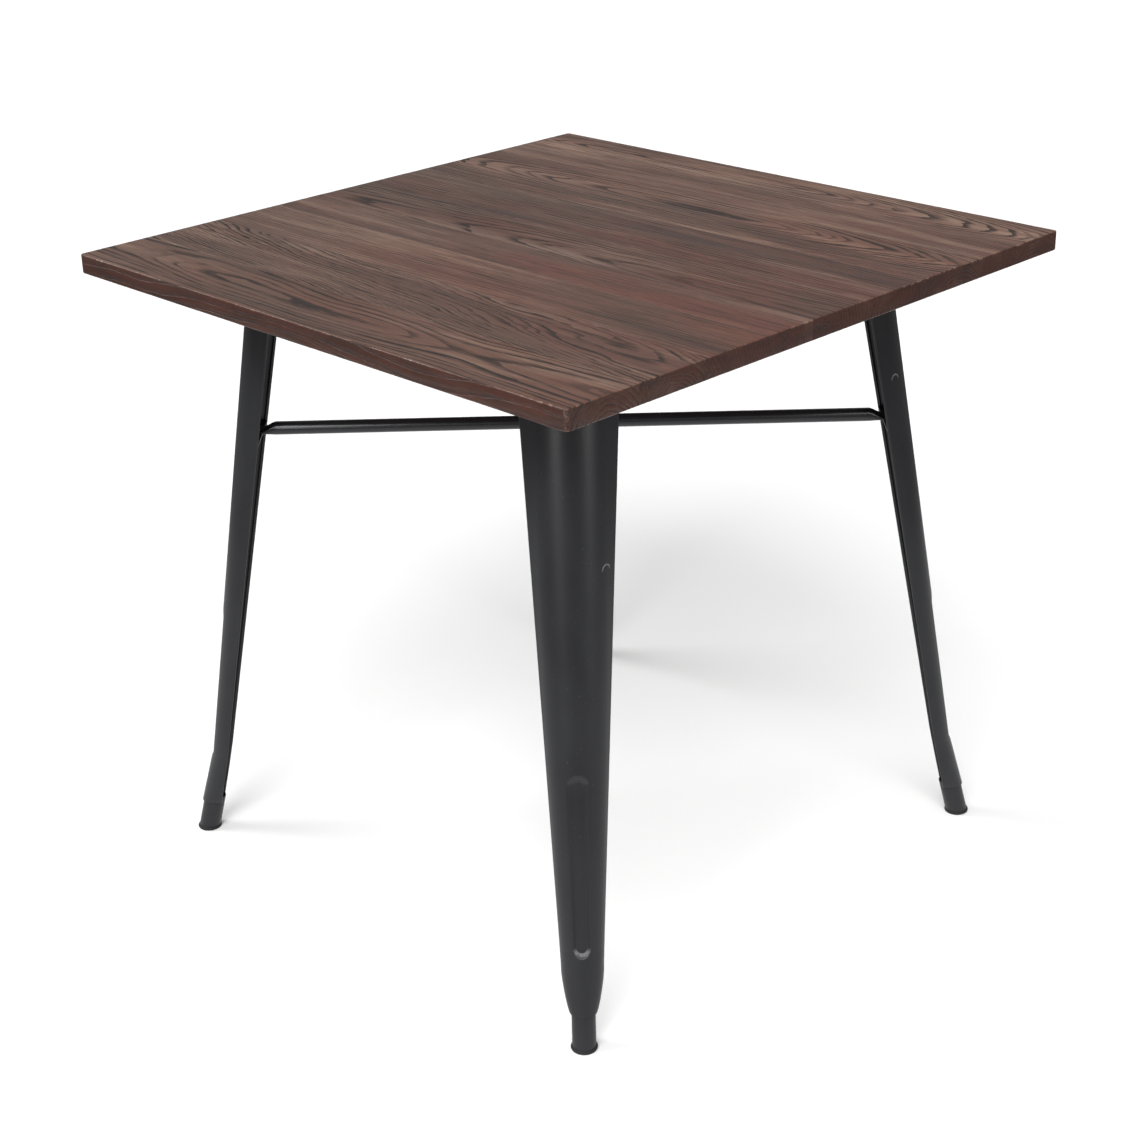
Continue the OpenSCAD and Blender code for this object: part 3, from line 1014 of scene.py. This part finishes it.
def threaded(radius, low, high, pitch):
    """A threaded end along Z, chamfered at its tip."""
    outline = [(0, low), (radius * 0.86, low)]
    z = low
    while z + pitch < high - 0.4 * MM:
        outline += [(radius, z + pitch * 0.5), (radius * 0.86, z + pitch)]
        z += pitch
    outline += [(radius * 0.95, high - 0.4 * MM), (radius * 0.8, high), (0, high)]
    return lathe(outline, 20)


def pan_screw(radius, height):
    """A pan head below Z = 0, with a cross recess."""
    outline = [
        (0, -height * 0.45), (radius * 0.16, -height * 0.5), (radius * 0.45, -height),
        (radius * 0.62, -height * 0.97), (radius * 0.88, -height * 0.72),
        (radius, -height * 0.35), (radius, 0), (0, 0),
    ]
    bm = lathe(outline, 24)
    for v in bm.verts:
        r = math.hypot(v.co.x, v.co.y)
        if on(r, radius * 0.45) and v.co.z < -height * 0.9:
            turn = math.atan2(v.co.y, v.co.x) % (math.pi / 2)
            if min(turn, math.pi / 2 - turn) > math.radians(20):
                v.co.xy *= 0.5
    return bm


# The turn from corner to corner, then each bolt's distance from the table's axis and its
# place to the side.
LEG_BOLTS = (1.1, (352 * MM, 20 * MM), (352 * MM, -20 * MM), (318 * MM, 0.0))
END_BOLTS = (0.9, (380 * MM, 0.0))
WASHER_R = 8 * MM
WASHER_T = 1.6 * MM
SCREW_SPREAD = 150 * MM
SCREW_HEAD_R = 4.2 * MM
SCREW_HEAD_H = 2.6 * MM
STILL = Matrix.Identity(4)
DOWN = Matrix.Rotation(math.pi, 4, "X")


class Thread(NamedTuple):
    """The sizes of a bolt and its nut."""

    radius: float
    head: float
    head_h: float
    nut_h: float
    pitch: float


M8 = Thread(4 * MM, 7.5 * MM, 5.3 * MM, 6.5 * MM, 1.25 * MM)
M6 = Thread(3 * MM, 5.8 * MM, 4.0 * MM, 5.0 * MM, 1.0 * MM)


def bolt_spots(bolts, z):
    """Where bolts stand at a height, in every corner, each turned a little differently."""
    twist, *places = bolts
    spots = []
    for i in range(4):
        for k, (r, v) in enumerate(places):
            turn = Matrix.Rotation(0.7 * k + twist * i, 4, "Z")
            spots.append(at_corner(i) @ Matrix.Translation((r, v, z)) @ turn)
    return spots


def repeated(name, node, parts, spots):
    """One piece of several copies: each part is a bmesh and its own place at a spot."""
    bm = bmesh.new()
    for spot in spots:
        for part, own in parts:
            merged(bm, part, spot @ own)
    for part, _ in parts:
        part.free()
    piece(name, bm, zinc(), [node], 35)


def bolt_parts(size, grip, tip):
    """A bolt's head below Z = 0, its shank up through the grip and its threaded tip."""
    head = hexagon(size.head, size.head_h)
    shank = lathe(((0, 0), (size.radius, 0), (size.radius, grip), (0, grip)), 20)
    end = threaded(size.radius, grip, tip, size.pitch)
    return [(head, DOWN), (shank, STILL), (end, STILL)]


def nuts(name, node, size, spots):
    """One piece of several nuts."""
    nut = hexagon(size.head, size.nut_h, size.radius)
    repeated(name, node, [(nut, STILL)], spots)


class BISTRO_OT_brace_fasteners(bpy.types.Operator):
    """Makes the bolts and nuts of the brace"""

    bl_idname = "bistro.brace_fasteners"
    bl_label = "Brace bolts and nuts"

    def execute(self, context):
        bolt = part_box("brace_centre_bolt")
        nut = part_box("brace_centre_nut")
        top = bolt[1].z - M6.head_h
        parts = bolt_parts(M6, top - nut[0].z, top - bolt[0].z)
        spot = Matrix.Translation((0, 0, top)) @ DOWN
        repeated("centre_bolt", "brace_centre_bolt", parts, [spot])
        spot = Matrix.Translation((0, 0, nut[0].z)) @ Matrix.Rotation(0.4, 4, "Z")
        nuts("centre_nut", "brace_centre_nut", M6, [spot])
        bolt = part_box("brace_end_bolts")
        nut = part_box("brace_end_nuts")
        top = bolt[1].z - M6.head_h
        parts = bolt_parts(M6, top - nut[0].z, top - bolt[0].z)
        spots = [m @ DOWN for m in bolt_spots(END_BOLTS, top)]
        repeated("end_bolts", "brace_end_bolts", parts, spots)
        nuts("end_nuts", "brace_end_nuts", M6, bolt_spots(END_BOLTS, nut[0].z))
        return {"FINISHED"}


class BISTRO_OT_leg_fasteners(bpy.types.Operator):
    """Makes the bolts, washers and nuts that hold the legs to the frame"""

    bl_idname = "bistro.leg_fasteners"
    bl_label = "Leg bolts, washers and nuts"

    def execute(self, context):
        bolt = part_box("leg_bolts")
        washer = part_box("leg_bolt_washers")
        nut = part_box("leg_bolt_nuts")
        seat = bolt[0].z + M8.head_h
        parts = bolt_parts(M8, nut[1].z - seat, bolt[1].z - seat)
        repeated("leg_bolts_m8", "leg_bolts", parts, bolt_spots(LEG_BOLTS, seat))
        nuts("leg_nuts_m8", "leg_bolt_nuts", M8, bolt_spots(LEG_BOLTS, nut[0].z))
        ease = 0.25 * MM
        hole = M8.radius + 0.2 * MM
        outline = (
            (hole, ease), (hole + ease, 0), (WASHER_R - ease, 0), (WASHER_R, ease),
            (WASHER_R, WASHER_T - ease), (WASHER_R - ease, WASHER_T),
            (hole + ease, WASHER_T), (hole, WASHER_T - ease),
        )
        ring = lathe(outline, 32, closed=True)
        spots = bolt_spots(LEG_BOLTS, washer[0].z)
        repeated("leg_washers_m8", "leg_bolt_washers", [(ring, STILL)], spots)
        return {"FINISHED"}


class BISTRO_OT_top_screws(bpy.types.Operator):
    """Makes the wood screws that hold the top to the rails"""

    bl_idname = "bistro.top_screws"
    bl_label = "Top screws"

    def execute(self, context):
        low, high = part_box("top_screws")
        axis_r = FRAME_HALF - 18 * MM
        seat = low.z + SCREW_HEAD_H
        middles = [sum(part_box(f"board_{n}"), Vector()).y / 2 for n in (3, 5, 7)]
        row = (-SCREW_SPREAD, 0.0, SCREW_SPREAD)
        spots = []
        for side, places in enumerate((middles, row, [-y for y in middles], row)):
            around = Matrix.Rotation(math.radians(90 * side), 4, "Z")
            for k, place in enumerate(places):
                turn = Matrix.Rotation(0.6 * k + side, 4, "Z")
                spots.append(around @ Matrix.Translation((axis_r, place, seat)) @ turn)
        shank = threaded(2 * MM, 0, high.z - seat, 1.4 * MM)
        parts = [(pan_screw(SCREW_HEAD_R, SCREW_HEAD_H), STILL), (shank, STILL)]
        repeated("wood_screws", "top_screws", parts, spots)
        return {"FINISHED"}


# ---- the stage ----


# Azimuth, elevation, strength and spread of each sun; azimuth of each softbox.
SUNS = (("front", 32, 46, 1.9, 34), ("side", 308, 34, 1.7, 30))
SOFTBOXES = (("left_strip", 17), ("right_strip", 84))
SOFTBOX_SIZE = (0.5, 0.9)
SOFTBOX_DISTANCE = 1.7
SOFTBOX_HEIGHT = 0.95
SOFTBOX_AIM = 0.45
SOFTBOX_POWER = 7
BOUNCE_SIZE = (3.0, 3.0)
BOUNCE_POWER = 16
FLOOR_HALF = 40


def compass(azimuth, elevation=0.0):
    """A direction from the table: azimuth turns from the front side to the right one."""
    level = math.cos(elevation)
    return Vector((math.sin(azimuth) * level, -math.cos(azimuth) * level, math.sin(elevation)))


def camera_matrix(settings):
    """The camera's place and turn."""
    back = compass(settings.azimuth, settings.elevation)
    right = Vector((0, 0, 1)).cross(back).normalized()
    up = back.cross(right)
    c, s = math.cos(settings.roll), math.sin(settings.roll)
    right, up = right * c + up * s, up * c - right * s
    spot = back * settings.distance + right * settings.aim_right + up * settings.aim_up
    return Matrix.Translation(spot) @ Matrix((right, up, back)).transposed().to_4x4()


def add_sun(name, azimuth, elevation, strength, spread):
    """A far, soft light that shines from a direction round the table."""
    light = bpy.data.lights.new(name, "SUN")
    light.energy = strength
    light.angle = math.radians(spread)
    source = compass(math.radians(azimuth), math.radians(elevation))
    linked(name, light).rotation_euler = source.to_track_quat("Z", "Y").to_euler()


def add_panel(name, shape, size, power):
    """A wide light that the camera doesn't see."""
    light = bpy.data.lights.new(name, "AREA")
    light.shape = shape
    light.size, light.size_y = size
    light.energy = power
    made = linked(name, light)
    made.visible_camera = False
    return made


def add_softbox(name, azimuth):
    """An upright soft light that faces the table from one side."""
    made = add_panel(name, "RECTANGLE", SOFTBOX_SIZE, SOFTBOX_POWER)
    spot = compass(math.radians(azimuth)) * SOFTBOX_DISTANCE
    spot.z = SOFTBOX_HEIGHT
    made.location = spot
    aim = spot - Vector((0, 0, SOFTBOX_AIM))
    made.rotation_euler = aim.to_track_quat("Z", "Y").to_euler()


def add_bounce():
    """The light that the pale floor near the table throws back up at it."""
    made = add_panel("bounce", "DISK", BOUNCE_SIZE, BOUNCE_POWER)
    made.location = (0, 0, 0.5 * MM)
    made.rotation_euler = (math.pi, 0, 0)


def soft_surround(settings):
    """A surround that the camera sees as white, and that lights the table less from
    lower down."""
    f = Finish("surround", "worlds", "Generated")
    bright = (f.step(f.z, -0.5, 0.9) * 0.75 + 0.25) * settings.sky
    seen = f.add("LightPath", output="Is Camera Ray")
    sockets = {"Color": (1.0, 1.0, 1.0, 1.0), "Strength": bright.most(seen)}
    return f.ended("Background", "OutputWorld", sockets)


class BISTRO_OT_stage(bpy.types.Operator):
    """Makes the floor, the soft lights and the camera"""

    bl_idname = "bistro.stage"
    bl_label = "Stage"

    def execute(self, context):
        scene = context.scene
        settings = scene.bistro_stage
        bm = bmesh.new()
        bmesh.ops.create_grid(bm, x_segments=4, y_segments=4, size=FLOOR_HALF)
        mesh = bpy.data.meshes.new("floor")
        bm.to_mesh(mesh)
        bm.free()
        mesh.materials.append(pale_floor(settings))
        floor = linked("floor", mesh)
        floor.visible_diffuse = False
        floor.visible_glossy = False

        scene.world = soft_surround(settings)
        for sun in SUNS:
            add_sun(*sun)
        for softbox in SOFTBOXES:
            add_softbox(*softbox)
        add_bounce()

        camera = bpy.data.cameras.new("camera")
        camera.sensor_width = 36
        camera.lens = settings.lens
        camera.clip_end = 100
        made = linked("camera", camera)
        made.matrix_world = camera_matrix(settings)
        scene.camera = made
        scene.view_settings.view_transform = "Standard"
        return {"FINISHED"}


# ---- the add-on ----


OPERATORS = (
    BISTRO_OT_boards,
    BISTRO_OT_frame,
    BISTRO_OT_legs,
    BISTRO_OT_plates,
    BISTRO_OT_ferrules,
    BISTRO_OT_foot_pads,
    BISTRO_OT_brace,
    BISTRO_OT_brace_fasteners,
    BISTRO_OT_leg_fasteners,
    BISTRO_OT_top_screws,
    BISTRO_OT_stage,
)
GROUPS = {
    "bistro_top": TopSettings,
    "bistro_leg": LegSettings,
    "bistro_metal": MetalSettings,
    "bistro_stage": StageSettings,
}


class BISTRO_PT_table(bpy.types.Panel):
    """Lists the table's sizes and colours and the steps that make it"""

    bl_idname = "BISTRO_PT_table"
    bl_label = "Bistro table"
    bl_space_type = "VIEW_3D"
    bl_region_type = "UI"
    bl_category = "Bistro table"

    def draw(self, context):
        for group in GROUPS:
            settings = getattr(context.scene, group)
            box = self.layout.box()
            for name in settings.__annotations__:
                box.prop(settings, name)
        for operator in OPERATORS:
            self.layout.operator(operator.bl_idname)


CLASSES = (*GROUPS.values(), *OPERATORS, BISTRO_PT_table)


def register():
    """Adds the add-on's classes and its settings."""
    for cls in CLASSES:
        bpy.utils.register_class(cls)
    for name, cls in GROUPS.items():
        setattr(bpy.types.Scene, name, PointerProperty(type=cls))


def unregister():
    """Takes them away again."""
    for name in GROUPS:
        delattr(bpy.types.Scene, name)
    for cls in reversed(CLASSES):
        bpy.utils.unregister_class(cls)


def main():
    """Makes the whole table."""
    register()
    for operator in OPERATORS:
        group, name = operator.bl_idname.split(".")
        getattr(getattr(bpy.ops, group), name)()


if __name__ == "__main__":
    main()
